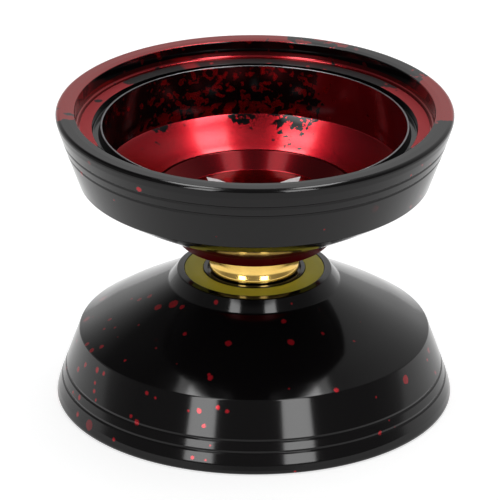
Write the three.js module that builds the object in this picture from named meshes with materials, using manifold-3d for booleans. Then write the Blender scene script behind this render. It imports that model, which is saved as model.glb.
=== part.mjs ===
// Ball-bearing yo-yo, turned from aluminium, in the parts it comes apart into.
//
// Millimetres, +Z up. The origin is the centre of the bearing, half-way between the two
// halves, and Z is the spin axis. The yo-yo stands on the rim face of its lower half.
// Each half is described once, as the upper one, and the lower one is the same half
// turned over.

import * as THREE from 'three';
import { mergeVertices } from 'three/addons/utils/BufferGeometryUtils.js';
import Module from 'manifold-3d';

const wasm = await Module();
wasm.setup();

// ---- one half: radius R_ and height Z_ above the middle of the string gap --------------
const R_RIM = 28.0;               // largest radius
const Z_RIM_FACE = 21.75;         // half of the overall width
const RIM_CORNER = 0.8;           // rounding of the outer rim corner
const RIM_WALL_BULGE = 0.15;      // how far the rim wall swells past a straight cone
const R_FACE_INNER = 25.45;       // inner edge of the flat rim face

const Z_LEDGE = 19.3;             // flat ledge inside the rim
const LEDGE_FILLET = 0.8;
const R_GROOVE_OUTER = 22.95;     // narrow groove between the ledge and the cup lip
const R_GROOVE_INNER = 22.0;
const GROOVE_DEPTH = 1.0;
const Z_CUP_LIP = 19.5;
const R_CUP_TOP = 21.35;
const R_CUP_BOTTOM = 21.1;        // where the cup wall meets the inner cone
const Z_CUP_BOTTOM = 12.2;
const R_HUB = 14.0;               // where the inner cone meets the hub recess
const Z_HUB = 9.3;
const R_HUB_FLOOR = 11.75;
const Z_HUB_FLOOR = 7.5;

const R_SHOULDER = 24.86;         // where the outer cone meets the rim wall
const Z_SHOULDER = 11.69;
const R_NECK = 12.2;              // where the steep nub meets the outer cone
const Z_NECK = 4.25;
const R_NUB = 10.92;              // outer edge of the flat land round the pad
const Z_NUB = 2.4;

const Z_LIP = 2.33;               // thin lip between the bearing and the pad
const R_LIP_INNER = 6.6;
const R_LIP_OUTER = 7.2;
const R_PAD_OUTER = 9.95;
const PAD_GROOVE_DEPTH = 1.1;
const RECESS_FLOOR = 2.9;         // floor of the bearing recess
const R_SEAT_SHOULDER = 4.1;      // boss that presses on the inner race
const SEAT_TIP = 0.15;            // the bearing seats stop short of the mid-plane
const SEAT_CLEARANCE = 0.035;

// ---- axle ------------------------------------------------------------------------------
const AXLE_R = 1.98;              // M4 thread, drawn as its outside diameter
const AXLE_LENGTH = 12.0;
const AXLE_CHAMFER = 0.35;
const AXLE_HOLE_R = 2.04;
const AXLE_HOLE_END = 6.4;        // blind end of the threaded hole
const HEX_ACROSS_FLATS = 2.0;
const HEX_DEPTH = 2.2;

// ---- bearing: 6.35 bore, 12.7 outside, 4.76 wide ------------------------------------------
const BORE_R = 3.175;
const OUTER_R = 6.35;
const HALF_WIDTH = 2.38;
const RACE_CHAMFER = 0.15;
const CENTRE_R = 6.1;             // the outer race is hollowed to this radius in the middle
const CENTRE_HALF_FLAT = 1.05;
const EDGE_LAND = 0.68;           // full-radius band at each end of the outer race
const BALL_R = 0.794;             // 1/16 inch ball
const BALL_COUNT = 8;
const PITCH_R = (BORE_R + OUTER_R) / 2;
const TRACK_R = 0.83;             // groove radius in both races
const INNER_SHOULDER_R = 4.25;
const OUTER_SHOULDER_R = 5.275;
const SHIELD_SEAT_R = 5.78;       // counterbore that holds the shield
const SHIELD_SEAT_Z = 1.88;
const CLIP_GROOVE_R = 5.96;
const CLIP_GROOVE_LOW = 2.06;
const CLIP_GROOVE_HIGH = 2.28;

const SHIELD_INNER_R = 4.4;
const SHIELD_THICKNESS = 0.12;
const CLIP_INNER_R = 5.42;
const CLIP_THICKNESS = 0.16;
const CLIP_OPENING = THREE.MathUtils.degToRad(24);

const CAGE_INNER_R = 4.36;
const CAGE_OUTER_R = 5.16;
const CAGE_LOW = -0.45;           // the fingers end below the ball centres and hold them
const CAGE_HIGH = 1.15;
const POCKET_R = 0.87;

// ---- running gaps and facets --------------------------------------------------------------
const PAD_GAP = 0.05;
const FACE_GAP = 0.02;
const SEGMENTS = 48;
const BEARING_SEGMENTS = 40;
const AXLE_SEGMENTS = 24;
const TRACK_STEPS = 5;

// ---- finishes -------------------------------------------------------------------------------
const finishes = {
  splash: { color: 0x1c0b0d, roughness: 0.28, metalness: 0.9 },
  gold: { color: 0xd9a545, roughness: 0.22, metalness: 1.0 },
  steel: { color: 0xb9bcc0, roughness: 0.3, metalness: 1.0 },
  silicone: { color: 0x6f5c1d, roughness: 0.6, metalness: 0.0 },
  nylon: { color: 0xd8cfb4, roughness: 0.55, metalness: 0.0 },
};

function part(name, geometry, finish) {
  const mesh = new THREE.Mesh(geometry, new THREE.MeshStandardMaterial(finishes[finish]));
  mesh.name = name;
  return mesh;
}

// Turns an outline of [radius, height] points about Z. The outline runs anticlockwise,
// with the radius to the right and the height up.
function turned(outline, segments = SEGMENTS) {
  const points = outline.map(([r, z]) => new THREE.Vector2(r, z));
  const geometry = new THREE.LatheGeometry(points, segments);
  geometry.rotateX(Math.PI / 2);
  return geometry;
}

// Points of a circular arc in the [radius, height] plane.
function arc(centreR, centreZ, radius, fromDegrees, toDegrees, steps) {
  const points = [];
  for (let i = 0; i <= steps; i += 1) {
    const angle = THREE.MathUtils.degToRad(fromDegrees + ((toDegrees - fromDegrees) * i) / steps);
    points.push([centreR + radius * Math.cos(angle), centreZ + radius * Math.sin(angle)]);
  }
  return points;
}

// A closed ring outline, ending on the point it starts from.
function closed(outline) {
  return [...outline, outline[0]];
}

function toSolid(geometry) {
  const bare = geometry.clone();
  bare.deleteAttribute('normal');
  bare.deleteAttribute('uv');
  const merged = mergeVertices(bare, 1e-4);
  const vertProperties = new Float32Array(merged.attributes.position.array);
  const triVerts = new Uint32Array(merged.index.array);
  return new wasm.Manifold(new wasm.Mesh({ numProp: 3, vertProperties, triVerts }));
}

function toGeometry(solid) {
  const mesh = solid.getMesh();
  const geometry = new THREE.BufferGeometry();
  geometry.setAttribute('position', new THREE.BufferAttribute(mesh.vertProperties, 3));
  geometry.setIndex(new THREE.BufferAttribute(mesh.triVerts, 1));
  geometry.computeVertexNormals();
  return geometry;
}

// The slightly swollen rim wall, from the shoulder up to the rounded corner.
function rimWall(steps) {
  const top = [R_RIM, Z_RIM_FACE - RIM_CORNER];
  const run = new THREE.Vector2(top[0] - R_SHOULDER, top[1] - Z_SHOULDER);
  const outward = new THREE.Vector2(run.y, -run.x).normalize();
  const points = [];
  for (let i = 0; i < steps; i += 1) {
    const t = i / steps;
    const swell = RIM_WALL_BULGE * Math.sin(Math.PI * t);
    points.push([
      R_SHOULDER + run.x * t + outward.x * swell,
      Z_SHOULDER + run.y * t + outward.y * swell,
    ]);
  }
  return points;
}

function halfOutline() {
  const seatR = BORE_R - SEAT_CLEARANCE;
  const shoulderZ = HALF_WIDTH + FACE_GAP;
  const padFloor = Z_LIP + PAD_GROOVE_DEPTH;
  const bearingSeat = [
    [0, AXLE_HOLE_END],
    [AXLE_HOLE_R, AXLE_HOLE_END],
    [AXLE_HOLE_R, SEAT_TIP],
    [seatR, SEAT_TIP],
    [seatR, shoulderZ],
    [R_SEAT_SHOULDER, shoulderZ],
    [R_SEAT_SHOULDER, RECESS_FLOOR],
    [R_LIP_INNER, RECESS_FLOOR],
    [R_LIP_INNER, Z_LIP],
    [R_LIP_OUTER, Z_LIP],
  ];
  const padGroove = [
    [R_LIP_OUTER, padFloor],
    [R_PAD_OUTER, padFloor],
    [R_PAD_OUTER, Z_NUB],
    [R_NUB, Z_NUB],
    [R_NECK, Z_NECK],
  ];
  const rim = [
    ...rimWall(4),
    ...arc(R_RIM - RIM_CORNER, Z_RIM_FACE - RIM_CORNER, RIM_CORNER, 0, 90, 3),
    [R_FACE_INNER, Z_RIM_FACE],
    ...arc(R_FACE_INNER - LEDGE_FILLET, Z_LEDGE + LEDGE_FILLET, LEDGE_FILLET, 0, -90, 3),
  ];
  const lip = [
    [R_GROOVE_OUTER, Z_LEDGE],
    [R_GROOVE_OUTER, Z_LEDGE - GROOVE_DEPTH],
    [R_GROOVE_INNER, Z_LEDGE - GROOVE_DEPTH],
    [R_GROOVE_INNER, Z_CUP_LIP],
    [R_CUP_TOP, Z_CUP_LIP],
  ];
  const cup = [
    [R_CUP_BOTTOM, Z_CUP_BOTTOM],
    [R_HUB, Z_HUB],
    [R_HUB_FLOOR, Z_HUB_FLOOR],
    [0, Z_HUB_FLOOR],
  ];
  return [...bearingSeat, ...padGroove, ...rim, ...lip, ...cup];
}

function padOutline() {
  const low = Z_LIP + PAD_GAP;
  const high = Z_LIP + PAD_GROOVE_DEPTH - PAD_GAP;
  return closed([
    [R_LIP_OUTER + PAD_GAP, low],
    [R_PAD_OUTER - PAD_GAP, low],
    [R_PAD_OUTER - PAD_GAP, high],
    [R_LIP_OUTER + PAD_GAP, high],
  ]);
}

// One half with its response pad, facing the gap downwards.
function buildSide(side) {
  const group = new THREE.Group();
  group.add(part(`${side}_half`, turned(halfOutline()), 'splash'));
  group.add(part(`response_pad_${side}`, turned(padOutline()), 'silicone'));
  return group;
}

// Set screw with a hexagon socket in each end.
function buildAxle() {
  const end = AXLE_LENGTH / 2;
  const stud = turned([
    [0, -end],
    [AXLE_R - AXLE_CHAMFER, -end],
    [AXLE_R, -end + AXLE_CHAMFER],
    [AXLE_R, end - AXLE_CHAMFER],
    [AXLE_R - AXLE_CHAMFER, end],
    [0, end],
  ], AXLE_SEGMENTS);
  let solid = toSolid(stud);
  const cornerR = HEX_ACROSS_FLATS / Math.sqrt(3);
  for (const side of [-1, 1]) {
    const socket = new THREE.CylinderGeometry(cornerR, cornerR, 2 * HEX_DEPTH, 6);
    socket.rotateX(Math.PI / 2);
    socket.translate(0, 0, side * end);
    solid = solid.subtract(toSolid(socket));
  }
  return part('axle', toGeometry(solid), 'steel');
}

// Half the angle of the track groove that lies beyond a race's shoulder.
function trackHalfAngle(shoulderR) {
  const depth = Math.abs(PITCH_R - shoulderR);
  return THREE.MathUtils.radToDeg(Math.acos(depth / TRACK_R));
}

function buildInnerRace() {
  const half = trackHalfAngle(INNER_SHOULDER_R);
  const outline = closed([
    [BORE_R, -HALF_WIDTH + RACE_CHAMFER],
    [BORE_R + RACE_CHAMFER, -HALF_WIDTH],
    [INNER_SHOULDER_R - RACE_CHAMFER, -HALF_WIDTH],
    [INNER_SHOULDER_R, -HALF_WIDTH + RACE_CHAMFER],
    ...arc(PITCH_R, 0, TRACK_R, 180 + half, 180 - half, TRACK_STEPS),
    [INNER_SHOULDER_R, HALF_WIDTH - RACE_CHAMFER],
    [INNER_SHOULDER_R - RACE_CHAMFER, HALF_WIDTH],
    [BORE_R + RACE_CHAMFER, HALF_WIDTH],
    [BORE_R, HALF_WIDTH - RACE_CHAMFER],
  ]);
  return part('bearing_inner_race', turned(outline, BEARING_SEGMENTS), 'steel');
}

// The outer race: hollowed outside so that the string centres itself, with a counterbore
// and a clip groove at each end.
function buildOuterRace() {
  const half = trackHalfAngle(OUTER_SHOULDER_R);
  const outside = [
    [OUTER_R - RACE_CHAMFER, -HALF_WIDTH],
    [OUTER_R, -HALF_WIDTH + RACE_CHAMFER],
    [OUTER_R, -HALF_WIDTH + EDGE_LAND],
    [CENTRE_R, -CENTRE_HALF_FLAT],
  ];
  const bore = [
    [SHIELD_SEAT_R, -HALF_WIDTH],
    [SHIELD_SEAT_R, -CLIP_GROOVE_HIGH],
    [CLIP_GROOVE_R, -CLIP_GROOVE_HIGH],
    [CLIP_GROOVE_R, -CLIP_GROOVE_LOW],
    [SHIELD_SEAT_R, -CLIP_GROOVE_LOW],
    [SHIELD_SEAT_R, -SHIELD_SEAT_Z],
    [OUTER_SHOULDER_R, -SHIELD_SEAT_Z],
  ];
  const flip = ([r, z]) => [r, -z];
  const outline = closed([
    ...outside,
    ...outside.map(flip).reverse(),
    ...bore.map(flip),
    ...arc(PITCH_R, 0, TRACK_R, half, -half, TRACK_STEPS),
    ...bore.reverse(),
  ]);
  return part('bearing_outer_race', turned(outline, BEARING_SEGMENTS), 'gold');
}

function buildBalls() {
  const group = new THREE.Group();
  for (let i = 0; i < BALL_COUNT; i += 1) {
    const angle = (2 * Math.PI * i) / BALL_COUNT;
    const ball = part(`bearing_ball_${i + 1}`, new THREE.SphereGeometry(BALL_R, 12, 8), 'steel');
    ball.position.set(PITCH_R * Math.cos(angle), PITCH_R * Math.sin(angle), 0);
    group.add(ball);
  }
  return group;
}

// Crown cage: a ring with a round pocket snapped over each ball.
function buildCage() {
  let solid = toSolid(turned(closed([
    [CAGE_INNER_R, CAGE_LOW],
    [CAGE_OUTER_R, CAGE_LOW],
    [CAGE_OUTER_R, CAGE_HIGH],
    [CAGE_INNER_R, CAGE_HIGH],
  ]), BEARING_SEGMENTS));
  for (let i = 0; i < BALL_COUNT; i += 1) {
    const angle = (2 * Math.PI * i) / BALL_COUNT;
    const pocket = new THREE.SphereGeometry(POCKET_R, 12, 8);
    pocket.translate(PITCH_R * Math.cos(angle), PITCH_R * Math.sin(angle), 0);
    solid = solid.subtract(toSolid(pocket));
  }
  return part('ball_cage', toGeometry(solid), 'nylon');
}

// A shield and the open ring that keeps it in its counterbore, at the bearing's upper end.
function buildShield(side) {
  const group = new THREE.Group();
  const low = SHIELD_SEAT_Z + FACE_GAP;
  const outerR = SHIELD_SEAT_R - PAD_GAP;
  const shield = turned(closed([
    [SHIELD_INNER_R, low],
    [outerR, low],
    [outerR, low + SHIELD_THICKNESS],
    [SHIELD_INNER_R, low + SHIELD_THICKNESS],
  ]), BEARING_SEGMENTS);
  group.add(part(`bearing_shield_${side}`, shield, 'steel'));

  const clip = new THREE.Shape();
  const start = CLIP_OPENING / 2;
  const end = 2 * Math.PI - start;
  clip.absarc(0, 0, CLIP_GROOVE_R - PAD_GAP, start, end, false);
  clip.absarc(0, 0, CLIP_INNER_R, end, start, true);
  clip.closePath();
  const ring = new THREE.ExtrudeGeometry(clip, {
    depth: CLIP_THICKNESS,
    bevelEnabled: false,
    curveSegments: 30,
  });
  ring.translate(0, 0, (CLIP_GROOVE_LOW + CLIP_GROOVE_HIGH - CLIP_THICKNESS) / 2);
  group.add(part(`shield_circlip_${side}`, ring, 'steel'));
  return group;
}

function turnedOver(group) {
  group.rotation.x = Math.PI;
  return group;
}

const yoyo = new THREE.Group();
yoyo.add(buildSide('upper'));
yoyo.add(turnedOver(buildSide('lower')));
yoyo.add(buildAxle());
yoyo.add(buildInnerRace());
yoyo.add(buildOuterRace());
yoyo.add(buildBalls());
yoyo.add(buildCage());
yoyo.add(buildShield('upper'));
yoyo.add(turnedOver(buildShield('lower')));

export default yoyo;
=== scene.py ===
import math

import bmesh
import bpy
from mathutils import Matrix, Vector


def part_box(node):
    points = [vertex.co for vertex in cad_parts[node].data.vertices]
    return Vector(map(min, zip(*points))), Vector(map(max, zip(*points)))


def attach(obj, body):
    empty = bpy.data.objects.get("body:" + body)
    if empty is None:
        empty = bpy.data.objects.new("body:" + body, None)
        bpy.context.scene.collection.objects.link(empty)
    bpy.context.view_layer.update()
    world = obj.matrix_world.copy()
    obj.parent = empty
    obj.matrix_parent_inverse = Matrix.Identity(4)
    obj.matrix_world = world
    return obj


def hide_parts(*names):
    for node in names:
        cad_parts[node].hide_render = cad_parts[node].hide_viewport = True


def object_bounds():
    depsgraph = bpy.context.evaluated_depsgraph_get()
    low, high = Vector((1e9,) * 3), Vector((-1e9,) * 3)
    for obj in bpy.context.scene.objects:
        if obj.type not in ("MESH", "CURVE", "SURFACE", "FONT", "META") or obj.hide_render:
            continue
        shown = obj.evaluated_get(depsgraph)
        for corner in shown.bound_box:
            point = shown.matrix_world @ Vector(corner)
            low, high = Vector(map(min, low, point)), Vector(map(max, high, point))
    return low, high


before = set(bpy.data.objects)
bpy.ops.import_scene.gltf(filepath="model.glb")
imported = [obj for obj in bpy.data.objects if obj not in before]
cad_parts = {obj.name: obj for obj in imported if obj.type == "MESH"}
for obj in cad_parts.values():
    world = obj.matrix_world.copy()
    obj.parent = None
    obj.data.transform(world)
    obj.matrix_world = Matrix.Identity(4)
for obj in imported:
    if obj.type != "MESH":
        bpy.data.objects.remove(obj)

cad_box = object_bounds()

# A turned aluminium ball-bearing yo-yo, standing on the rim of its lower half. Outlines are
# in millimetres, as [radius, height above the middle of the string gap], and every mesh is
# scaled to metres when it is made. Azimuths are in degrees round the spin axis: 0 is the
# side that faces -Y, and 90 is the +X side.

MM = 0.001
RING_STEPS = 192

# ---------------------------------------------------------------- sizes from the frame
half_low, half_high = (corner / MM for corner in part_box("upper_half"))
pad_low, pad_high = (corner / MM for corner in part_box("response_pad_upper"))
_, race_high = (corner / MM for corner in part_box("bearing_outer_race"))
_, inner_high = (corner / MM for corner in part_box("bearing_inner_race"))
shield_low, shield_high = (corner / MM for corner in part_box("bearing_shield_upper"))
clip_low, clip_high = (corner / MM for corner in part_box("shield_circlip_upper"))
_, axle_high = (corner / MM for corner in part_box("axle"))
cage_low, cage_high = (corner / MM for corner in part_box("ball_cage"))

Z_RIM_FACE = half_high.z
R_FACE_CREST = 26.35              # inside this the rim face falls away a little
R_FACE_INNER = 25.45
Z_LEDGE = 19.3
R_GROOVE_OUTER = 22.95
R_GROOVE_INNER = 21.95
GROOVE_DEPTH = 1.1
Z_CUP_LIP = 19.5
R_CUP_TOP = 21.47
R_CUP_BOTTOM = 21.1
Z_CUP_BOTTOM = 12.2
CUP_BEND = (18.0, 10.45)          # what the hollow cone at the bottom of the cup bends towards
R_HUB = 14.0
Z_HUB = 9.3
HUB_BEAD = (R_HUB + 0.5, Z_HUB + 0.2)
R_HUB_FLOOR = 11.75
Z_HUB_FLOOR = 7.5
R_SHOULDER = 24.86
Z_SHOULDER = 11.69
CONE_BREAK = (21.6, 9.55)         # where the outer cone turns a few degrees steeper
R_NECK = 12.2
Z_NECK = 4.25
R_NUB = 10.92
Z_NUB = 2.4
Z_LIP = 2.33
R_LIP_INNER = 6.6
R_LIP_OUTER = 7.2
R_PAD_OUTER = 9.95
Z_PAD_FLOOR = 3.43
Z_RECESS = 2.9
R_SEAT_SHOULDER = 4.1
R_SEAT = 3.14
SEAT_TIP = half_low.z
SEAT_CHAMFER = 0.25
RACE_CLEARANCE = 0.02
R_AXLE_HOLE = 2.04
Z_AXLE_HOLE = 6.4
RIM_GROOVES = (17.1, 18.65)
WALL_STATIONS = (12.8, 14.2, 15.6, 16.4)    # plain heights that carry the wall's swell
WALL_SWELL = 0.04
R_WALL_TOP = 28.36                # where the rim wall would meet the rim face, if it ran on
Z_WALL_TURN = 20.3                # where the rim wall starts to round over
RIM_EDGE = 0.97                   # fillet of the rim
BORE_R = 3.175
PITCH_R = (BORE_R + race_high.x) / 2
TRACK_R = 0.83
BALLS = 8


# ---------------------------------------------------------------- outlines
def rounded(corners, closed=False, arc_steps=4, hold=0.04):
    """Turns [radius, height, fillet, tag] corners into a list of (radius, height, tag)
    points. A tag names the surface that runs from its corner to the next one. Each fillet
    has a support point just before and after it, so that the long faces shade flat."""
    points = []
    count = len(corners)
    for index, (radius, height, fillet, tag) in enumerate(corners):
        here = Vector((radius, height))
        at_end = not closed and index in (0, count - 1)
        before_tag = corners[index - 1][3]
        if at_end or fillet == 0:
            points.append((radius, height, tag))
            continue
        before = Vector(corners[index - 1][:2]) - here
        after = Vector(corners[(index + 1) % count][:2]) - here
        half_turn = (math.pi - before.angle(after)) / 2
        reach = fillet * math.tan(half_turn)
        most = 0.45 * min(before.length, after.length)
        if reach > most:
            fillet *= most / reach
            reach = most
        start = here + before.normalized() * reach
        end = here + after.normalized() * reach
        middle = (before.normalized() + after.normalized()).normalized()
        centre = here + middle * (fillet / math.cos(half_turn))
        spare = min(hold, 0.3 * (min(before.length, after.length) - reach))
        lead_in = start + before.normalized() * spare
        lead_out = end + after.normalized() * spare
        points.append((lead_in.x, lead_in.y, before_tag))
        arm_start = start - centre
        sweep = arm_start.angle_signed(end - centre)
        for step in range(arc_steps + 1):
            angle = -sweep * step / arc_steps
            arm = Matrix.Rotation(angle, 2) @ arm_start
            share = before_tag if step < arc_steps / 2 else tag
            points.append((centre.x + arm.x, centre.y + arm.y, share))
        points.append((lead_out.x, lead_out.y, tag))
    return points


def v_groove(radius, height, slope, half_width, depth, tag):
    """Corners of a fine V groove cut into a wall, at that radius and height. Slope is the
    wall's radius gained per height."""
    along = Vector((slope, 1)).normalized()
    inward = Vector((-along.y, along.x))
    centre = Vector((radius, height))
    low = centre - along * half_width
    floor = centre + inward * depth
    high = centre + along * half_width
    return [
        [low.x, low.y, 0.08, tag],
        [floor.x, floor.y, 0.08, tag],
        [high.x, high.y, 0.08, tag],
    ]


def bowl(start, bend, end, tag, steps=6):
    """Corners along a smooth curve that leaves start and reaches end aiming at bend."""
    corners = []
    for step in range(1, steps):
        share = step / steps
        first = Vector(start).lerp(Vector(bend), share)
        second = Vector(bend).lerp(Vector(end), share)
        here = first.lerp(second, share)
        corners.append([here.x, here.y, 0, tag])
    return corners


def half_corners():
    """One half, from the blind end of the axle hole, out over the string side, round the rim
    and back down the cup to the axis."""
    slope = (R_WALL_TOP - R_SHOULDER) / (Z_RIM_FACE - Z_SHOULDER)

    def wall(height):
        share = (height - Z_SHOULDER) / (Z_RIM_FACE - Z_SHOULDER)
        swell = WALL_SWELL * math.sin(math.pi * share)
        return R_SHOULDER + slope * (height - Z_SHOULDER) + swell

    string_side = [
        [0, Z_AXLE_HOLE, 0, "seat"],
        [R_AXLE_HOLE, Z_AXLE_HOLE, 0.1, "seat"],
        [R_AXLE_HOLE, SEAT_TIP + SEAT_CHAMFER, 0.03, "seat"],
        [R_AXLE_HOLE + SEAT_CHAMFER, SEAT_TIP, 0.03, "seat"],
        [R_SEAT - 0.2, SEAT_TIP, 0.05, "seat"],
        [R_SEAT, SEAT_TIP + SEAT_CHAMFER, 0.05, "seat"],
        [R_SEAT, race_high.z + RACE_CLEARANCE, 0.03, "seat"],
        [R_SEAT_SHOULDER, race_high.z + RACE_CLEARANCE, 0.05, "seat"],
        [R_SEAT_SHOULDER, Z_RECESS, 0.08, "seat"],
        [R_LIP_INNER, Z_RECESS, 0.12, "seat"],
        [R_LIP_INNER, Z_LIP, 0.08, "lip"],
        [R_LIP_OUTER, Z_LIP, 0.05, "lip"],
        [R_LIP_OUTER, Z_PAD_FLOOR, 0.05, "lip"],
        [R_PAD_OUTER, Z_PAD_FLOOR, 0.05, "nub"],
        [R_PAD_OUTER, Z_NUB, 0.05, "nub"],
        [R_NUB, Z_NUB + 0.12, 0.25, "nub"],
        [R_NECK, Z_NECK, 0.7, "outside"],
        [*CONE_BREAK, 45, "outside"],
        [R_SHOULDER, Z_SHOULDER, 0.35, "outside"],
    ]
    rim_wall = []
    for height in WALL_STATIONS:
        rim_wall.append([wall(height), height, 0, "outside"])
    for height in RIM_GROOVES:
        rim_wall += v_groove(wall(height), height, slope, 0.27, 0.13, "outside")
        rim_wall.append([wall(height + 0.7), height + 0.7, 0, "outside"])
    rim_and_cup = [
        [wall(Z_WALL_TURN), Z_WALL_TURN, 2.4, "outside"],
        [R_WALL_TOP - 0.15, Z_RIM_FACE, RIM_EDGE, "rim_face"],
        [R_FACE_CREST, Z_RIM_FACE, 1.5, "rim_face"],
        [R_FACE_INNER, Z_RIM_FACE - 0.04, 0.12, "step"],
        [R_FACE_INNER - 0.12, Z_LEDGE + 0.85, 0, "ledge_root"],
        [R_FACE_INNER - 0.15, Z_LEDGE, 0.4, "ledge_root"],
        [R_FACE_INNER - 0.8, Z_LEDGE, 0, "ledge"],
        [R_GROOVE_OUTER, Z_LEDGE, 0.06, "groove"],
        [R_GROOVE_OUTER - 0.05, Z_LEDGE - GROOVE_DEPTH, 0.15, "groove"],
        [R_GROOVE_INNER, Z_LEDGE - GROOVE_DEPTH, 0.15, "cup_lip"],
        [R_CUP_TOP + 0.30, Z_CUP_LIP, 0.10, "cup_lip"],
        [R_CUP_TOP, Z_CUP_LIP, 0.12, "cup_wall"],
        [R_CUP_BOTTOM, Z_CUP_BOTTOM, 0.12, "cone"],
        *bowl((R_CUP_BOTTOM, Z_CUP_BOTTOM), CUP_BEND, HUB_BEAD, "cone"),
        [*HUB_BEAD, 0.15, "hub_bead"],
        [R_HUB, Z_HUB + 0.25, 0.12, "hub_wall"],
        [R_HUB_FLOOR, Z_HUB_FLOOR, 0.25, "hub_floor"],
        [0, Z_HUB_FLOOR, 0, "hub_floor"],
    ]
    return string_side + rim_wall + rim_and_cup


def mirrored(points):
    """The same outline below the gap. Reversing it keeps its faces pointing out, and each
    tag moves to the other end of its stretch."""
    count = len(points)
    flipped = []
    for index in range(count - 1, -1, -1):
        radius, height, _ = points[index]
        tag = points[index - 1][2]
        flipped.append((radius, -height, tag))
    return flipped


# ---------------------------------------------------------------- meshes
def new_piece(name, bm, body, materials, stands_for=()):
    """A smooth-shaded object from a bmesh in millimetres, riding on its body."""
    bmesh.ops.scale(bm, vec=(MM, MM, MM), verts=bm.verts)
    bmesh.ops.recalc_face_normals(bm, faces=bm.faces)
    mesh = bpy.data.meshes.new(name)
    bm.to_mesh(mesh)
    bm.free()
    mesh.shade_smooth()
    mesh.set_sharp_from_angle(angle=math.radians(50))
    for material in materials:
        mesh.materials.append(material)
    piece = bpy.data.objects.new(name, mesh)
    bpy.context.scene.collection.objects.link(piece)
    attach(piece, body)
    if stands_for:
        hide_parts(*stands_for)
    return piece


def add_turned(bm, points, closed, steps=RING_STEPS, tags=("",)):
    """Turns an outline about Z into a bmesh. Points on the axis become single vertices."""
    rings = []
    for radius, height, _ in points:
        if radius < 1e-6:
            rings.append([bm.verts.new((0, 0, height))])
            continue
        ring = []
        for step in range(steps):
            angle = 2 * math.pi * step / steps
            ring.append(bm.verts.new((radius * math.sin(angle), -radius * math.cos(angle), height)))
        rings.append(ring)
    last = len(points) if closed else len(points) - 1
    for index in range(last):
        lower = rings[index]
        upper = rings[(index + 1) % len(points)]
        tag = points[index][2]
        for step in range(steps):
            following = (step + 1) % steps
            corners = []
            if len(lower) > 1:
                corners += [lower[step], lower[following]]
            else:
                corners += [lower[0]]
            if len(upper) > 1:
                corners += [upper[following], upper[step]]
            else:
                corners += [upper[0]]
            face = bm.faces.new(corners)
            face.material_index = tags.index(tag) if tag in tags else 0


def turned_piece(name, corners, body, materials, stands_for, below=False, closed=True,
                 tags=("",), steps=RING_STEPS):
    points = rounded(corners, closed=closed)
    if below:
        points = mirrored(points)
    bm = bmesh.new()
    add_turned(bm, points, closed, steps, tags)
    return new_piece(name, bm, body, materials, stands_for)


# ---------------------------------------------------------------- material helpers
class Nodes:
    """Short names for the nodes of one shader tree."""

    def __init__(self, tree, coordinate):
        self.tree = tree
        self.place = tree.nodes.new("ShaderNodeTexCoord").outputs[coordinate]
        self.x, self.y, self.z = self.split(self.place)

    def link(self, source, socket):
        if isinstance(source, (int, float, tuple)):
            socket.default_value = source
        else:
            self.tree.links.new(source, socket)

    def split(self, vector):
        node = self.tree.nodes.new("ShaderNodeSeparateXYZ")
        self.link(vector, node.inputs[0])
        return node.outputs[0], node.outputs[1], node.outputs[2]

    def join(self, x, y, z):
        node = self.tree.nodes.new("ShaderNodeCombineXYZ")
        for source, socket in zip((x, y, z), node.inputs):
            self.link(source, socket)
        return node.outputs[0]

    def math(self, operation, first, second=0.0):
        node = self.tree.nodes.new("ShaderNodeMath")
        node.operation = operation
        self.link(first, node.inputs[0])
        self.link(second, node.inputs[1])
        return node.outputs[0]

    def span(self, value, low, high):
        """0 at low and 1 at high, straight between them."""
        node = self.tree.nodes.new("ShaderNodeMapRange")
        node.clamp = True
        self.link(value, node.inputs["Value"])
        self.link(low, node.inputs["From Min"])
        self.link(high, node.inputs["From Max"])
        return node.outputs["Result"]

    def noise(self, scale, detail, seed, vector=None, rough=0.5):
        """Noise with features about 1 / scale metres across."""
        node = self.tree.nodes.new("ShaderNodeTexNoise")
        node.noise_dimensions = "4D"
        self.link(vector or self.place, node.inputs["Vector"])
        self.link(seed, node.inputs["W"])
        self.link(scale, node.inputs["Scale"])
        self.link(detail, node.inputs["Detail"])
        self.link(rough, node.inputs["Roughness"])
        return node.outputs["Fac"]

    def mix(self, share, first, second):
        node = self.tree.nodes.new("ShaderNodeMix")
        node.data_type = "RGBA"
        self.link(share, node.inputs["Factor"])
        self.link(first, node.inputs["A"])
        self.link(second, node.inputs["B"])
        return node.outputs["Result"]

    def most(self, *values):
        result = values[0]
        for value in values[1:]:
            result = self.math("MAXIMUM", result, value)
        return result

    def least(self, *values):
        result = values[0]
        for value in values[1:]:
            result = self.math("MINIMUM", result, value)
        return result

    def vector(self, operation, first, second):
        node = self.tree.nodes.new("ShaderNodeVectorMath")
        node.operation = operation
        self.link(first, node.inputs[0])
        self.link(second, node.inputs[1])
        return node.outputs["Value"]


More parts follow.
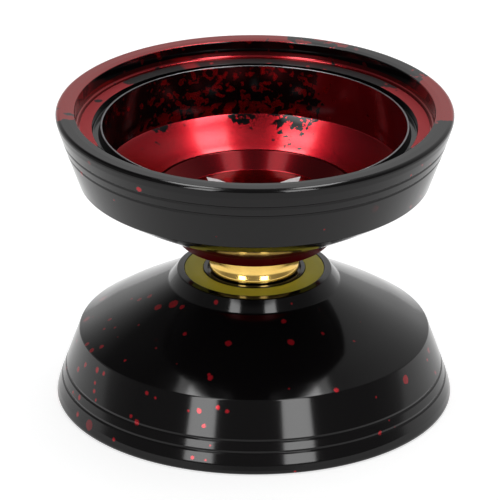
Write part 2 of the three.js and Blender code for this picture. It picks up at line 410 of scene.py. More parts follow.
class Surface(Nodes):
    """A node material with one Principled shader, in the object's own coordinates."""

    def __init__(self, name):
        self.material = bpy.data.materials.new(name)
        self.material.use_nodes = True
        super().__init__(self.material.node_tree, "Object")
        self.shader = self.tree.nodes["Principled BSDF"]
        square_x = self.math("MULTIPLY", self.x, self.x)
        square_y = self.math("MULTIPLY", self.y, self.y)
        self.radius = self.math("SQRT", self.math("ADD", square_x, square_y))
        turn = self.math("ARCTAN2", self.x, self.math("MULTIPLY", self.y, -1.0))
        self.azimuth = self.math("MULTIPLY", turn, 180 / math.pi)

    def bump(self, height, distance):
        node = self.tree.nodes.new("ShaderNodeBump")
        node.inputs["Distance"].default_value = distance
        node.inputs["Strength"].default_value = 1.0
        self.link(height, node.inputs["Height"])
        self.link(node.outputs["Normal"], self.shader.inputs["Normal"])

    def set(self, **values):
        for name, value in values.items():
            self.link(value, self.shader.inputs[name.replace("_", " ")])

    def turning_lines(self, per_millimetre, seed):
        """Fine lathe lines: noise that changes along the outline and not round it."""
        outline = self.join(self.radius, self.z, 0.0)
        return self.noise(per_millimetre / MM, 2.0, seed, outline)


# ---------------------------------------------------------------- anodised splash finish
class Splash(Surface):
    """Black anodising with translucent red under it, where a mask of 1 shows the red."""

    def from_azimuth(self, centre):
        offset = self.math("WRAP", self.math("SUBTRACT", self.azimuth, float(centre)), 180.0)
        offset.node.inputs[2].default_value = -180.0
        return self.math("ABSOLUTE", offset)

    def near_azimuth(self, centre, half_width, edge):
        """1 within half_width degrees of an azimuth, with an edge that many degrees wide."""
        return self.span(self.from_azimuth(centre), half_width + edge, half_width - edge)

    def sector(self, centre, half_width, seed, ragged, scale=420.0):
        """A patch round an azimuth, whose edge wanders as splashed dye does."""
        away = self.math("SUBTRACT", self.noise(scale, 4.0, seed), 0.5)
        wander = self.math("MULTIPLY", away, ragged * 4)
        edge = self.math("ADD", self.from_azimuth(centre), wander)
        return self.span(edge, half_width + 0.6, half_width - 0.6)

    def blotches(self, scale, share, seed, sharp=0.012, detail=1.5):
        """Irregular blotches that cover about that share of the surface."""
        level = 0.5 + 0.22 * (0.5 - share) * 2
        return self.span(self.noise(scale, detail, seed), level - sharp, level + sharp)

    def dots(self, cell, size, share, seed):
        """Scattered round spots: one in each 1 / share of the cells, up to size across."""
        node = self.tree.nodes.new("ShaderNodeTexVoronoi")
        node.voronoi_dimensions = "3D"
        node.inputs["Scale"].default_value = 1 / (cell * MM)
        node.inputs["Randomness"].default_value = 0.9
        ripple = self.noise(900.0, 1.0, seed)
        shift = self.math("MULTIPLY", ripple, 0.5 * MM)
        moved = self.join(self.math("ADD", self.x, self.math("ADD", shift, seed * 0.01)),
                          self.math("ADD", self.y, shift), self.z)
        self.link(moved, node.inputs["Vector"])
        red, green, _ = self.split(node.outputs["Color"])
        reach = self.math("MULTIPLY", green, size / cell)
        inside = self.math("SUBTRACT", reach, node.outputs["Distance"])
        spot = self.span(inside, 0.0, 0.05)
        chosen = self.math("LESS_THAN", red, share)
        return self.math("MULTIPLY", spot, chosen)

    def spots(self, places, wall):
        """Single spots of dye. Each is (azimuth, height, size); wall gives the radius of the
        surface at a height."""
        ripple = self.math("MULTIPLY", self.noise(1500.0, 1.0, 3.0), 0.35 * MM)
        marks = []
        for azimuth, height, size in places:
            angle = math.radians(azimuth)
            radius = wall(abs(height)) * MM
            centre = (radius * math.sin(angle), -radius * math.cos(angle), height * MM)
            away = self.math("ADD", self.vector("DISTANCE", self.place, centre), ripple)
            edge = (size / 2 + 0.12) * MM
            marks.append(self.span(away, edge + 0.1 * MM, edge - 0.1 * MM))
        return self.most(*marks)

    def finish(self, red_share, seed, depth=1.0, seal=1.0, metal=1.0, blur=0.17, satin=0.10):
        """Mixes the two dyes by the mask and sets the gloss of the sealed oxide layer. Depth
        is how much light comes back through the red dye, seal how glassy the layer is, metal
        how far the metal shows through the red, blur how softly the metal mirrors and satin
        how softly the layer does."""
        drift = self.noise(90.0, 2.0, seed)
        light = (0.44 * depth, 0.010 * depth, 0.020 * depth, 1)
        dark = (0.36 * depth, 0.006 * depth, 0.013 * depth, 1)
        red = self.mix(drift, dark, light)
        black = self.mix(drift, (0.0018, 0.0012, 0.0014, 1), (0.0027, 0.0022, 0.0026, 1))
        lines = self.turning_lines(9.0, seed)
        self.set(
            Base_Color=self.mix(red_share, black, red),
            Metallic=self.math("MULTIPLY", red_share, metal),
            Roughness=self.math("ADD", self.math("MULTIPLY", lines, 0.08), blur),
            Specular_IOR_Level=0.0,
            Specular_Tint=self.mix(red_share, (0.9, 0.9, 1.0, 1), (0.5, 0.08, 0.10, 1)),
            Coat_Weight=seal,
            Coat_Roughness=satin,
            Coat_IOR=1.335,
        )
        self.bump(lines, 0.0016 * MM)
        return self.material


def wall_radius(height):
    return R_SHOULDER + 0.35 * (height - Z_SHOULDER)


def cone_radius(height):
    return R_NECK + (R_SHOULDER - R_NECK) * (height - Z_NECK) / (Z_SHOULDER - Z_NECK)


def nub_radius(height):
    return R_NUB + (R_NECK - R_NUB) * (height - Z_NUB) / (Z_NECK - Z_NUB)


def outline_radius(height):
    if height > Z_SHOULDER:
        return wall_radius(height)
    return cone_radius(height)


# Single spots of red dye on the outside of each half: azimuth, height and size.
UPPER_SPOTS = (
    (-35.5, 19.4, 0.9), (-48.0, 15.6, 0.4), (22.0, 14.0, 0.25), (-12.0, 13.4, 0.2),
    (57.0, 20.0, 0.5), (52.0, 19.2, 0.4), (63.0, 18.9, 0.6), (60.0, 12.6, 0.7), (66.0, 13.2, 0.5),
)
LOWER_SPOTS = (
    (-58.0, -5.0, 1.5), (-65.0, -5.9, 1.2), (-80.0, -5.9, 0.9),
    (-12.5, -6.9, 1.0), (-36.0, -6.8, 0.7), (-44.0, -8.7, 0.5), (-16.0, -10.0, 0.9),
    (-72.0, -9.2, 0.6), (-76.0, -9.9, 0.6), (-67.0, -10.8, 0.8), (-92.0, -11.1, 1.3),
    (-52.0, -10.6, 0.5), (-31.0, -9.4, 0.4), (-105.0, -10.2, 1.4), (18.0, -5.0, 0.8),
    (18.0, -6.9, 1.1), (36.0, -6.7, 0.6), (48.0, -8.2, 0.5), (12.0, -10.8, 0.3),
    (28.0, -11.5, 0.8), (-61.0, -12.9, 0.9), (-57.0, -12.8, 0.7), (-60.0, -14.6, 0.6),
    (-59.0, -15.6, 0.7), (-57.0, -16.6, 0.5), (-38.0, -16.9, 0.9), (-40.5, -16.4, 0.6),
    (-33.0, -13.0, 0.4), (-36.5, -12.7, 0.6), (-11.5, -12.8, 0.7), (-8.5, -13.2, 0.6),
    (-17.5, -13.5, 0.8), (-21.0, -13.7, 0.4), (-15.5, -15.4, 0.7), (-14.0, -19.9, 0.5),
    (-18.0, -19.8, 0.6), (-13.0, -17.9, 0.4), (-69.0, -13.6, 0.8), (-73.0, -15.0, 0.9),
    (-66.0, -17.8, 0.8), (-71.0, -18.0, 0.6), (-64.0, -19.9, 0.8), (-45.0, -20.2, 0.6),
    (78.0, -12.9, 0.9), (74.0, -13.6, 0.5), (45.0, -17.4, 0.3), (42.0, -13.8, 0.25),
)


def outside_finish(name, seed, spots, left_share, right_share, general):
    """The outer walls: black with sparse red flecks, more of them towards the sides, where
    they are also fainter. The shares say how many cells hold a fleck."""
    dye = Splash(name)
    flecks = dye.dots(2.0, 0.42, general, seed + 3)
    large = dye.dots(2.4, 1.0, left_share, seed + 5)
    small = dye.dots(1.5, 0.5, left_share, seed + 6)
    left = dye.math("MULTIPLY", dye.near_azimuth(-80, 22, 12), dye.most(large, small))
    right_dots = dye.dots(2.2, 0.8, right_share, seed + 8)
    right = dye.math("MULTIPLY", dye.near_azimuth(72, 22, 12), right_dots)
    share = dye.most(flecks, left, right, dye.spots(spots, outline_radius))
    thin = dye.math("MULTIPLY", dye.span(dye.from_azimuth(0), 45.0, 80.0), 0.5)
    share = dye.math("MULTIPLY", share, dye.math("SUBTRACT", 1.0, thin))
    return dye.finish(share, seed, metal=0.42)


def nub_finish(name, seed, red):
    """The short cone round the pad: dark red on the upper half, black on the lower one."""
    dye = Splash(name)
    if red:
        share = dye.math("SUBTRACT", 1.0, dye.blotches(500.0, 0.12, seed))
        return dye.finish(share, seed, 0.42, seal=0.4, blur=0.42)
    share = dye.spots(((-28.0, -3.3, 0.7), (27.0, -3.4, 0.3)), nub_radius)
    return dye.finish(share, seed, metal=0.6)


def rim_face_finish(name, seed):
    """Red round the left and back and at the right, black in front and at the back right."""
    dye = Splash(name)
    left = dye.sector(-137, 52, seed, 10.0)
    right = dye.sector(99, 17, seed + 1, 10.0)
    mingled = dye.least(dye.near_azimuth(158, 10, 5), dye.blotches(800.0, 0.42, seed + 3))
    flecks = dye.dots(2.2, 0.7, 0.06, seed + 2)
    specks = dye.math("SUBTRACT", 1.0, dye.dots(2.4, 0.8, 0.08, seed + 4))
    share = dye.most(dye.least(dye.most(left, right), specks), mingled, flecks)
    return dye.finish(share, seed, 0.68)


def ledge_finish(name, seed):
    """Satin, so that it stays pale beside the step: red at the sides, black elsewhere."""
    dye = Splash(name)
    left = dye.sector(-102, 30, seed + 1, 6.0)
    right = dye.sector(98, 29, seed + 2, 6.0)
    spot = dye.near_azimuth(-157, 2.5, 1.0)
    back = dye.least(dye.near_azimuth(180, 60, 20), dye.blotches(600.0, 0.03, seed + 3))
    specks = dye.math("SUBTRACT", 1.0, dye.dots(2.0, 1.0, 0.06, seed + 4))
    share = dye.most(dye.least(dye.most(left, right), specks), spot, back)
    return dye.finish(share, seed, 0.58, blur=0.5, satin=0.58)


def step_finish(name, seed):
    """Black, with dark red blotches at the back and at the sides."""
    dye = Splash(name)
    back = dye.least(dye.near_azimuth(-176, 38, 8), dye.blotches(600.0, 0.22, seed + 1))
    sides = dye.most(dye.near_azimuth(100, 14, 6), dye.near_azimuth(-100, 11, 5))
    patches = dye.least(sides, dye.blotches(520.0, 0.7, seed + 2))
    return dye.finish(dye.most(back, patches), seed, 0.55)


def ledge_root_finish(name, seed):
    """The rounded foot of the step stays red nearly all the way round."""
    dye = Splash(name)
    patches = dye.blotches(420.0, 0.10, seed)
    return dye.finish(dye.math("SUBTRACT", 1.0, patches), seed, 0.6)


def cup_wall_finish(name, seed):
    """Dark red at the right, black with small red cells at the back, black at the left."""
    dye = Splash(name)
    cells = dye.least(dye.near_azimuth(-173, 32, 9), dye.blotches(900.0, 0.33, seed, 0.04, 2.0))
    streaks = dye.blotches(620.0, 0.17, seed + 1, 0.04, 2.0)
    right = dye.math("MULTIPLY", dye.sector(116, 38, seed + 2, 6.0, 500.0), 0.45)
    foot = dye.span(dye.z, 14.2 * MM, 12.8 * MM)
    foot_red = dye.least(dye.math("MULTIPLY", foot, dye.near_azimuth(-175, 40, 12)),
                       dye.blotches(800.0, 0.5, seed + 3))
    share = dye.most(cells, streaks, right, foot_red)
    return dye.finish(share, seed, 0.68)


def cone_finish(name, seed):
    """Red, with black splatter hanging from its upper edge in three places."""
    dye = Splash(name)
    down = dye.span(dye.z, 12.2 * MM, 9.6 * MM)
    fine = dye.noise(820.0, 3.0, seed, rough=0.55)
    masks = []
    for centre, half_width, reach in ((164, 10, 1.25), (-174, 8, 0.62), (-141, 5, 0.50)):
        room = dye.span(down, reach, 0.0)
        masks.append(dye.math("MULTIPLY", dye.near_azimuth(centre, half_width, 3), room))
    level = dye.math("MULTIPLY", dye.most(*masks), 0.26)
    black = dye.span(dye.math("ADD", fine, level), 0.685, 0.700)
    return dye.finish(dye.math("SUBTRACT", 1.0, black), seed)


def plain_red_finish(name, seed, depth):
    """Red with a few black specks."""
    dye = Splash(name)
    specks = dye.dots(1.6, 0.3, 0.02, seed)
    return dye.finish(dye.math("SUBTRACT", 1.0, specks), seed, depth, 0.4)


def plain_black_finish(name, seed):
    """Black with a few red specks."""
    dye = Splash(name)
    return dye.finish(dye.dots(1.6, 0.5, 0.02, seed), seed)


# ---------------------------------------------------------------- other finishes
def metal_finish(name, dark, light, roughness, seed):
    """Bare or plated metal with fine turning lines."""
    skin = Surface(name)
    lines = skin.turning_lines(14.0, seed)
    cloud = skin.noise(700.0, 2.0, seed)
    skin.set(
        Base_Color=skin.mix(cloud, dark, light),
        Metallic=1.0,
        Roughness=skin.math("ADD", skin.math("MULTIPLY", lines, roughness * 0.6), roughness * 0.7),
    )
    skin.bump(lines, 0.0006 * MM)
    return skin.material


def silicone_finish():
    """Matte olive-mustard silicone, faintly mottled."""
    skin = Surface("response_silicone")
    cloud = skin.noise(260.0, 3.0, 4.0)
    grain = skin.noise(5200.0, 3.0, 7.0)
    skin.set(
        Base_Color=skin.mix(cloud, (0.55, 0.53, 0.028, 1), (0.66, 0.64, 0.050, 1)),
        Roughness=skin.math("ADD", skin.math("MULTIPLY", grain, 0.25), 0.42),
        Specular_IOR_Level=0.35,
    )
    skin.bump(grain, 0.004 * MM)
    return skin.material


def nylon_finish():
    """Moulded nylon in its own cream colour."""
    skin = Surface("cage_nylon_moulded")
    cloud = skin.noise(900.0, 2.0, 2.0)
    skin.set(
        Base_Color=skin.mix(cloud, (0.62, 0.57, 0.44, 1), (0.74, 0.70, 0.58, 1)),
        Roughness=skin.math("ADD", skin.math("MULTIPLY", cloud, 0.2), 0.4),
    )
    skin.bump(skin.noise(6000.0, 2.0, 5.0), 0.003 * MM)
    return skin.material


def etch_finish():
    """Laser-marked aluminium: pale, dry and slightly grainy."""
    skin = Surface("laser_etch")
    grain = skin.noise(4200.0, 3.0, 1.0)
    skin.set(
        Base_Color=skin.mix(grain, (0.46, 0.44, 0.45, 1), (0.72, 0.70, 0.71, 1)),
        Metallic=0.2,
        Roughness=skin.math("ADD", skin.math("MULTIPLY", grain, 0.2), 0.55),
    )
    skin.bump(grain, 0.006 * MM)
    return skin.material


def floor_finish():
    """A pale sheet with a painted glow, though it is no lamp, so that it runs into the white behind
    it and the shadow round the foot of the object stays faint.
    """
    skin = Surface("pale_floor")
    cloud = skin.noise(3.0, 2.0, 1.0)
    skin.set(
        Base_Color=skin.mix(cloud, (0.58, 0.58, 0.58, 1), (0.60, 0.60, 0.60, 1)),
        Roughness=0.7,
        Specular_IOR_Level=0.1,
        # painted glow: the floor gives out light of its own, which lifts the shadow round the
        # object
        Emission_Color=(1.0, 1.0, 1.0, 1),
        Emission_Strength=0.68,
    )
    return skin.material


# ---------------------------------------------------------------- the two halves
TAGS = ("outside", "nub", "lip", "seat", "rim_face", "step", "ledge_root", "ledge",
        "groove", "cup_lip", "cup_wall", "cone", "hub_bead", "hub_wall", "hub_floor")
polished_lip = metal_finish("polished_cup_lip", (0.08, 0.08, 0.085, 1), (0.22, 0.22, 0.23, 1),
                            0.3, 8.0)


def half_materials(side, seed):
    """One finish for each tag, in the order of TAGS."""
    upper = side == "upper"
    spots = UPPER_SPOTS if upper else LOWER_SPOTS
    made = {
        "outside": outside_finish(f"{side}_outside", seed, spots, 0.02 if upper else 0.10,
                                  0.08, 0.006 if upper else 0.02),
        "nub": nub_finish(f"{side}_nub", seed + 11, upper),
        "seat": plain_black_finish(f"{side}_seat", seed + 12),
        "rim_face": rim_face_finish(f"{side}_rim_face", seed + 13),
        "step": step_finish(f"{side}_step", seed + 14),
        "ledge_root": ledge_root_finish(f"{side}_ledge_root", seed + 20),
        "ledge": ledge_finish(f"{side}_ledge", seed + 15),
        "groove": plain_black_finish(f"{side}_groove", seed + 16),
        "cup_wall": cup_wall_finish(f"{side}_cup_wall", seed + 17),
        "cone": cone_finish(f"{side}_cone", seed + 18),
        "hub_wall": plain_red_finish(f"{side}_hub_wall", seed + 19, 0.30),
        "hub_floor": plain_red_finish(f"{side}_hub_floor", seed + 21, 0.55),
    }
    made["lip"] = made["seat"]
    made["cup_lip"] = polished_lip
    made["hub_bead"] = made["hub_wall"]
    return [made[tag] for tag in TAGS]


for side, seed in (("upper", 0.0), ("lower", 40.0)):
    turned_piece(f"{side}_half_turned", half_corners(), f"{side}_side",
                 half_materials(side, seed), [f"{side}_half"], below=side == "lower",
                 closed=False, tags=TAGS)

# ---------------------------------------------------------------- response pads
silicone = silicone_finish()


def pad_corners():
    """A silicone ring whose gripping face is crowned a little and has rounded edges."""
    inner = R_LIP_OUTER + 0.05
    outer = pad_high.x
    middle = (inner + outer) / 2
    low = pad_low.z
    high = pad_high.z
    return [
        [inner, low + 0.06, 0.1, ""],
        [middle, low, 1.5, ""],
        [outer, low + 0.06, 0.1, ""],
        [outer, high, 0.12, ""],
        [inner, high, 0.12, ""],
    ]


for side in ("upper", "lower"):
    turned_piece(f"response_pad_{side}_moulded", pad_corners(), f"{side}_side",
                 [silicone], [f"response_pad_{side}"], below=side == "lower")

# ---------------------------------------------------------------- bearing
gold = metal_finish("gold_plate", (0.77, 0.49, 0.12, 1), (0.89, 0.61, 0.18, 1), 0.14, 3.0)
ground_steel = metal_finish("ground_steel", (0.60, 0.61, 0.63, 1), (0.70, 0.71, 0.73, 1),
                            0.16, 5.0)
pressed_steel = metal_finish("pressed_steel", (0.52, 0.53, 0.55, 1), (0.64, 0.65, 0.66, 1),
                             0.32, 6.0)


def track(shoulder, steps=10):
    """Points of a race's ball track, from its lower shoulder edge to its upper one."""
    half = math.acos(abs(PITCH_R - shoulder) / TRACK_R)
    side = 1 if shoulder > PITCH_R else -1
    points = []
    for step in range(steps + 1):
        angle = -half + 2 * half * step / steps
        radius = PITCH_R + side * TRACK_R * math.cos(angle)
        points.append([radius, TRACK_R * math.sin(angle), 0, ""])
    return points


def outer_race_corners():
    """Hollowed outside so that the string centres itself; counterbored with a clip groove."""
    radius = race_high.x
    width = race_high.z
    hollow = 6.0
    hollow_bend = -1.17
    land = 0.7
    seat = 5.70
    seat_height = -1.88
    clip = 5.86
    clip_edges = (-2.28, -2.06)
    shoulder = 5.275
    outside = [
        [radius - 0.2, -width, 0.1, ""],
        [radius, -width + 0.2, 0.1, ""],
        [radius, land - width, 0, ""],
        *bowl((radius, land - width), (hollow, hollow_bend), (hollow, 0.0), "", 9)[:-1],
    ]
    bore = [
        [seat + 0.06, -width, 0.04, ""],
        [seat, -width + 0.06, 0.04, ""],
        [seat, clip_edges[0], 0.02, ""],
        [clip, clip_edges[0], 0.02, ""],
        [clip, clip_edges[1], 0.02, ""],
        [seat, clip_edges[1], 0.02, ""],
        [seat, seat_height, 0.02, ""],
        [shoulder, seat_height, 0.06, ""],
    ]

    def flip(corner):
        return [corner[0], -corner[1], corner[2], corner[3]]

    upper_outside = [flip(corner) for corner in reversed(outside)]
    upper_bore = [flip(corner) for corner in bore]
    return outside + upper_outside + upper_bore + track(shoulder)[::-1] + bore[::-1]


def inner_race_corners():
    """A plain ring, with the ball track round its outside and chamfered bore edges."""
    outer = inner_high.x
    width = inner_high.z
    return [
        [BORE_R, -width + 0.2, 0.08, ""],
        [BORE_R + 0.2, -width, 0.08, ""],
        [outer - 0.15, -width, 0.06, ""],
        [outer, -width + 0.15, 0.06, ""],
        *track(outer),
        [outer, width - 0.15, 0.06, ""],
        [outer - 0.15, width, 0.06, ""],
        [BORE_R + 0.2, width, 0.08, ""],
        [BORE_R, width - 0.2, 0.08, ""],
    ]


def shield_corners():
    """A pressed disc: flat outside, dished by its own thickness towards the inner race."""
    low = shield_low.z
    high = shield_high.z
    thick = (high - low) * 0.6
    return [
        [4.4, low, 0.02, ""],
        [4.9, low, 0.1, ""],
        [5.15, high - thick, 0.1, ""],
        [shield_high.x, high - thick, 0.02, ""],
        [shield_high.x, high, 0.02, ""],
        [5.05, high, 0.1, ""],
        [4.8, low + thick, 0.1, ""],
        [4.4, low + thick, 0.02, ""],
    ]


turned_piece("bearing_outer_race_plated", outer_race_corners(), "outer_race",
             [gold], ["bearing_outer_race"])
turned_piece("bearing_inner_race_ground", inner_race_corners(), "lower_side",
             [ground_steel], ["bearing_inner_race"], steps=128)


def make_ball(number):
    """A lapped ball, as a finely divided icosahedron."""
    low, high = (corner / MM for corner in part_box(f"bearing_ball_{number}"))
    bm = bmesh.new()
    bmesh.ops.create_icosphere(bm, subdivisions=4, radius=(high.z - low.z) / 2)
    bmesh.ops.translate(bm, vec=(low + high) / 2, verts=bm.verts)
    new_piece(f"bearing_ball_{number}_lapped", bm, f"ball_{number}",
              [ground_steel], [f"bearing_ball_{number}"])


for number in range(1, BALLS + 1):
    make_ball(number)


def make_circlip(side, sign):
    """An open ring of round-edged spring wire, with its two ends bent slightly inwards."""
    outer = clip_high.y
    inner = 5.42
    middle = (outer + inner) / 2
    half_width = (outer - inner) / 2
    half_height = (clip_high.z - clip_low.z) / 2
    height = (clip_high.z + clip_low.z) / 2
    opening = math.radians(26)
    bm = bmesh.new()
    section = []
    sides = 16
    for step in range(sides):
        angle = 2 * math.pi * step / sides
        across = math.cos(angle)
        up = math.sin(angle)
        section.append((math.copysign(abs(across) ** 0.5, across),
                        math.copysign(abs(up) ** 0.5, up)))
    rings = []
    count = 120
    for step in range(count + 1):
        share = step / count
        angle = opening / 2 + (2 * math.pi - opening) * share
        end = min(share, 1 - share) * count
        tuck = 0.12 * max(0.0, 1 - end / 6)
        ring = []
        for across, up in section:
            radius = middle - tuck + across * half_width
            ring.append(bm.verts.new((radius * math.sin(angle), -radius * math.cos(angle),
                                      sign * (height + up * half_height))))
        rings.append(ring)
    for lower, upper in zip(rings, rings[1:]):
        for step in range(sides):
            following = (step + 1) % sides
            bm.faces.new((lower[step], lower[following], upper[following], upper[step]))
    bm.faces.new(rings[0])
    bm.faces.new(rings[-1])
    new_piece(f"shield_circlip_{side}_sprung", bm, "outer_race",
              [pressed_steel], [f"shield_circlip_{side}"])


for side, sign in (("upper", 1), ("lower", -1)):
    turned_piece(f"bearing_shield_{side}_pressed", shield_corners(), "outer_race",
                 [pressed_steel], [f"bearing_shield_{side}"],
                 below=side == "lower", steps=128)
    make_circlip(side, sign)


def make_cage():
    """A moulded ring with a round pocket snapped over each ball."""
    inner = 4.36
    pocket = 0.87
    corners = [
        [inner, cage_low.z, 0.08, ""],
        [cage_high.x, cage_low.z, 0.08, ""],
        [cage_high.x, cage_high.z, 0.12, ""],
        [inner, cage_high.z, 0.12, ""],
    ]
    cage = turned_piece("ball_cage_moulded", corners, "cage",
                        [nylon_finish()], ["ball_cage"], steps=160)
    bm = bmesh.new()
    for number in range(BALLS):
        angle = 2 * math.pi * number / BALLS
        place = Matrix.Translation((PITCH_R * math.cos(angle), PITCH_R * math.sin(angle), 0))
        bmesh.ops.create_icosphere(bm, subdivisions=4, radius=pocket, matrix=place)
    bmesh.ops.scale(bm, vec=(MM, MM, MM), verts=bm.verts)
    mesh = bpy.data.meshes.new("cage_pockets")
    bm.to_mesh(mesh)
    bm.free()
    pockets = bpy.data.objects.new("cage_pockets", mesh)
    bpy.context.scene.collection.objects.link(pockets)
    cut = cage.modifiers.new("pockets", "BOOLEAN")
    cut.operation = "DIFFERENCE"
    cut.solver = "EXACT"
    cut.object = pockets
    bpy.context.view_layer.update()
    shaped = cage.evaluated_get(bpy.context.evaluated_depsgraph_get())
    finished = bpy.data.meshes.new_from_object(shaped)
    cage.modifiers.clear()
    cage.data = finished
    bpy.data.objects.remove(pockets)


make_cage()

# ---------------------------------------------------------------- axle
THREAD_PITCH = 0.7
THREAD_DEPTH = 0.4
AXLE_CHAMFER = 0.35
SOCKET_DEPTH = 2.2
SOCKET_LEAD = 0.15                # how far down the socket's mouth is flared


def hexagon(angle, across_flats=2.0):
    """Distance from the axis to the wall of a hexagon socket at that angle."""
    turn = (angle + math.pi / 6) % (math.pi / 3) - math.pi / 6
    return across_flats / 2 / math.cos(turn)


def make_axle():
    """A set screw with its real helical M4 thread and a hexagon socket in each end."""
    top = axle_high.z
    radius = axle_high.x
    steps = 72
    bm = bmesh.new()
    rows = []
    per_pitch = 10
    count = round(2 * top / THREAD_PITCH * per_pitch)
    heights = [-top + 2 * top * step / count for step in range(count + 1)]

    def socket_row(height, flare):
        turns = [2 * math.pi * step / steps for step in range(steps)]
        return [(height, hexagon(turn) * flare) for turn in turns]

    socket = [(top - SOCKET_DEPTH, 1.0), (top - SOCKET_LEAD, 1.0), (top, 1.12)]
    for height, flare in socket:
        rows.append(socket_row(-height, flare))
    for height in heights:
        row = []
        for step in range(steps):
            turn = step / steps
            phase = (height / THREAD_PITCH - turn) % 1.0
            tooth = min(1.0, max(0.0, 1.15 - abs(phase - 0.5) * 2.3))
            chamfer = max(0.0, AXLE_CHAMFER - (top - abs(height)))
            crest = radius - THREAD_DEPTH + THREAD_DEPTH * tooth
            row.append((height, min(crest, radius - chamfer)))
        rows.append(row)
    for height, flare in reversed(socket):
        rows.append(socket_row(height, flare))
    rings = []
    for row in rows:
        ring = []
        for step, (height, distance) in enumerate(row):
            angle = 2 * math.pi * step / steps
            place = (distance * math.sin(angle), -distance * math.cos(angle), height)
            ring.append(bm.verts.new(place))
        rings.append(ring)
    for lower, upper in zip(rings, rings[1:]):
        for step in range(steps):
            following = (step + 1) % steps
            bm.faces.new((lower[step], lower[following], upper[following], upper[step]))
    bm.faces.new(rings[0])
    bm.faces.new(rings[-1])
    steel = metal_finish("stainless_thread", (0.42, 0.43, 0.44, 1), (0.55, 0.56, 0.57, 1),
                         0.3, 9.0)
    new_piece("axle_threaded", bm, "lower_side", [steel], ["axle"])


make_axle()

# ---------------------------------------------------------------- etched marks in the hubs
ETCH_THICKNESS = 0.02
ETCH_GAP = 0.001
DARTS = 5
DART_OUTLINE = ((7.6, 0.0), (8.1, 8.0), (9.8, 4.6), (11.4, 0.0), (9.8, -4.6), (8.1, -8.0))
etched = etch_finish()


def make_darts(side, sign):
    """A ring of plain darts, laser-marked on the hub floor, points outwards. The outline is
    in (radius, degrees off the dart's centre line)."""
    bm = bmesh.new()
    low = Z_HUB_FLOOR + ETCH_GAP
    high = low + ETCH_THICKNESS
    for dart in range(DARTS):
        centre = 217 + 360 / DARTS * dart
        rims = []
        for height in (low, high):
            rim = []
            for radius, spread in DART_OUTLINE:
                angle = math.radians(centre + spread)
                rim.append(bm.verts.new((radius * math.sin(angle), -radius * math.cos(angle),
                                         sign * height)))
            rims.append(rim)
        bm.faces.new(rims[0])
        bm.faces.new(rims[1])
        for step in range(len(DART_OUTLINE)):
            following = (step + 1) % len(DART_OUTLINE)
            bm.faces.new((rims[0][step], rims[0][following], rims[1][following], rims[1][step]))
    piece = new_piece(f"{side}_hub_darts", bm, f"{side}_side", [etched])
    bevel = piece.modifiers.new("edge", "BEVEL")
    bevel.width = 0.006 * MM
    bevel.segments = 2


for side, sign in (("upper", 1), ("lower", -1)):
    make_darts(side, sign)

# ---------------------------------------------------------------- floor, light and camera
FLOOR_SIZE = 6.0
FLOOR_GAP = 0.01 * MM             # keeps the floor from cutting into the rim face that rests on it
floor_bm = bmesh.new()
bmesh.ops.create_grid(floor_bm, x_segments=8, y_segments=8, size=FLOOR_SIZE / 2)
floor_mesh = bpy.data.meshes.new("floor")
floor_bm.to_mesh(floor_mesh)
floor_bm.free()
floor_mesh.materials.append(floor_finish())
floor = bpy.data.objects.new("floor", floor_mesh)
floor.location.z = cad_box[0].z - FLOOR_GAP
bpy.context.scene.collection.objects.link(floor)


def direction(azimuth, elevation):
    """Unit vector from the object towards an azimuth and elevation, in degrees."""
    turn = math.radians(azimuth)
    lift = math.radians(elevation)
    reach = math.cos(lift)
    return Vector((math.sin(turn) * reach, -math.cos(turn) * reach, math.sin(lift)))


def soft_box(name, start, end, width, radiance, in_gloss=True, in_diffuse=True):
    """A long soft light from start to end, turned to face the object. Radiance is how
    bright it looks in a mirror."""
    start = Vector(start)
    end = Vector(end)
    along = (end - start).normalized()
    centre = (start + end) / 2
    length = (end - start).length
    away = (centre - along * centre.dot(along)).normalized()
    across = along.cross(away)
    data = bpy.data.lights.new(name, "AREA")
    data.shape = "RECTANGLE"
    data.size = width
    data.size_y = length
    data.energy = radiance * math.pi * width * length
    light = bpy.data.objects.new(name, data)
    turn = Matrix((across, along, away)).transposed()
    light.matrix_world = Matrix.Translation(centre) @ turn.to_4x4()
    light.visible_glossy = in_gloss
    light.visible_diffuse = in_diffuse
    bpy.context.scene.collection.objects.link(light)


def upright(azimuth, low, high):
    """Start and end of a plumb strip a metre away, between two heights above the object."""
    foot = direction(azimuth, 0)
    return foot + Vector((0, 0, low)), foot + Vector((0, 0, high))


# A bright upright strip light stands at each side of the camera. Two dimmer strips pass
# overhead, and two bright ones rise away behind the object. The strips only show in
# reflections; the fill does the lighting. Each is (name, start, end, width, radiance).
BRIGHT = 9.5
DIM = 2.8
STRIPS = (
    ("front_right", *upright(26, 0.12, 1.25), 0.31, BRIGHT),
    ("front_left", *upright(-31, 0.12, 1.25), 0.285, BRIGHT),
    ("middle_right", (0.38, -0.55, 1.2), (0.38, 0.20, 1.2), 0.30, DIM),
    ("middle_left", (-0.38, -0.55, 1.2), (-0.38, 0.20, 1.2), 0.30, DIM),
    ("back_right", (0.298, -0.04, 1.05), (0.302, 1.70, 2.10), 0.24, BRIGHT),
    ("back_left", (-0.298, -0.04, 1.05), (-0.302, 1.70, 2.10), 0.24, BRIGHT),
)

for name, start, end, width, radiance in STRIPS:
    soft_box(f"strip_{name}", start, end, width, radiance, in_diffuse=False)

soft_box("overhead_fill", (0.0, -1.2, 1.6), (0.0, 1.2, 1.6), 2.4, 1.0, in_gloss=False)

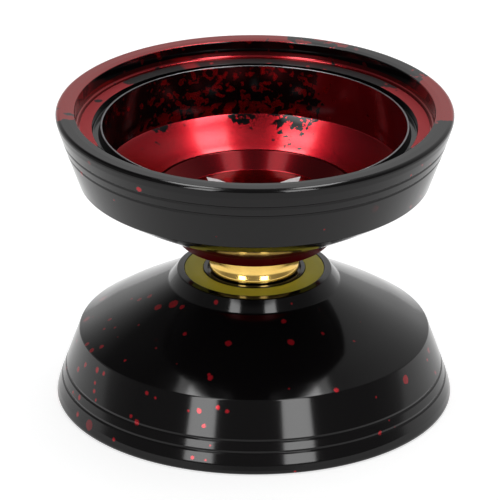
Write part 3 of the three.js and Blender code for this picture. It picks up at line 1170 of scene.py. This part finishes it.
# How bright the room is, by the direction's Y part: dark where the camera stands, and
# nearly white behind the object.
ROOM_LEVELS = ((-1.0, 0.28), (-0.25, 0.24), (0.0, 0.30), (0.22, 0.50), (0.38, 0.60),
               (0.65, 0.74), (0.80, 0.86), (0.91, 1.0), (0.975, 0.80))
DARK_CORNER = direction(-138, 50)


def make_world():
    """A soft gradient from dark to white, with one darker corner at the back left."""
    world = bpy.data.worlds.new("studio")
    world.use_nodes = True
    sky = Nodes(world.node_tree, "Generated")
    ramp = sky.tree.nodes.new("ShaderNodeValToRGB")
    sky.link(sky.span(sky.y, -1.0, 1.0), ramp.inputs["Fac"])
    elements = ramp.color_ramp.elements
    while len(elements) < len(ROOM_LEVELS):
        elements.new(0.5)
    for element, (part, level) in zip(elements, ROOM_LEVELS):
        element.position = (part + 1) / 2
        element.color = (level, level, level, 1)
    near = sky.span(sky.vector("DOT_PRODUCT", sky.place, tuple(DARK_CORNER)), 0.65, 0.97)
    shade = sky.math("SUBTRACT", 1.0, sky.math("MULTIPLY", sky.math("MULTIPLY", near, near), 0.85))
    sky.link(sky.mix(shade, (0, 0, 0, 1), ramp.outputs["Color"]),
           sky.tree.nodes["Background"].inputs["Color"])
    bpy.context.scene.world = world


make_world()

CAMERA_DISTANCE = 1.068
CAMERA_ELEVATION = 24.15
CAMERA_LENS = 542.4
CAMERA_ROLL = 0.2
AIM_RIGHT = -0.62 * MM            # the object stands a little right of and below the aim
AIM_UP = 0.19 * MM


def make_camera():
    data = bpy.data.cameras.new("camera")
    data.lens = CAMERA_LENS
    data.sensor_width = 36.0
    data.clip_start = 0.05
    camera = bpy.data.objects.new("camera", data)
    back = direction(0, CAMERA_ELEVATION)
    turn = back.to_track_quat("Z", "Y").to_matrix()
    up = turn @ Vector((0, 1, 0))
    aim = Vector((AIM_RIGHT, 0, 0)) + up * AIM_UP
    camera.location = aim + back * CAMERA_DISTANCE
    roll = Matrix.Rotation(math.radians(CAMERA_ROLL), 3, "Z")
    camera.rotation_euler = (turn @ roll).to_euler()
    bpy.context.scene.collection.objects.link(camera)
    bpy.context.scene.camera = camera


make_camera()
bpy.context.scene.view_settings.view_transform = "Standard"
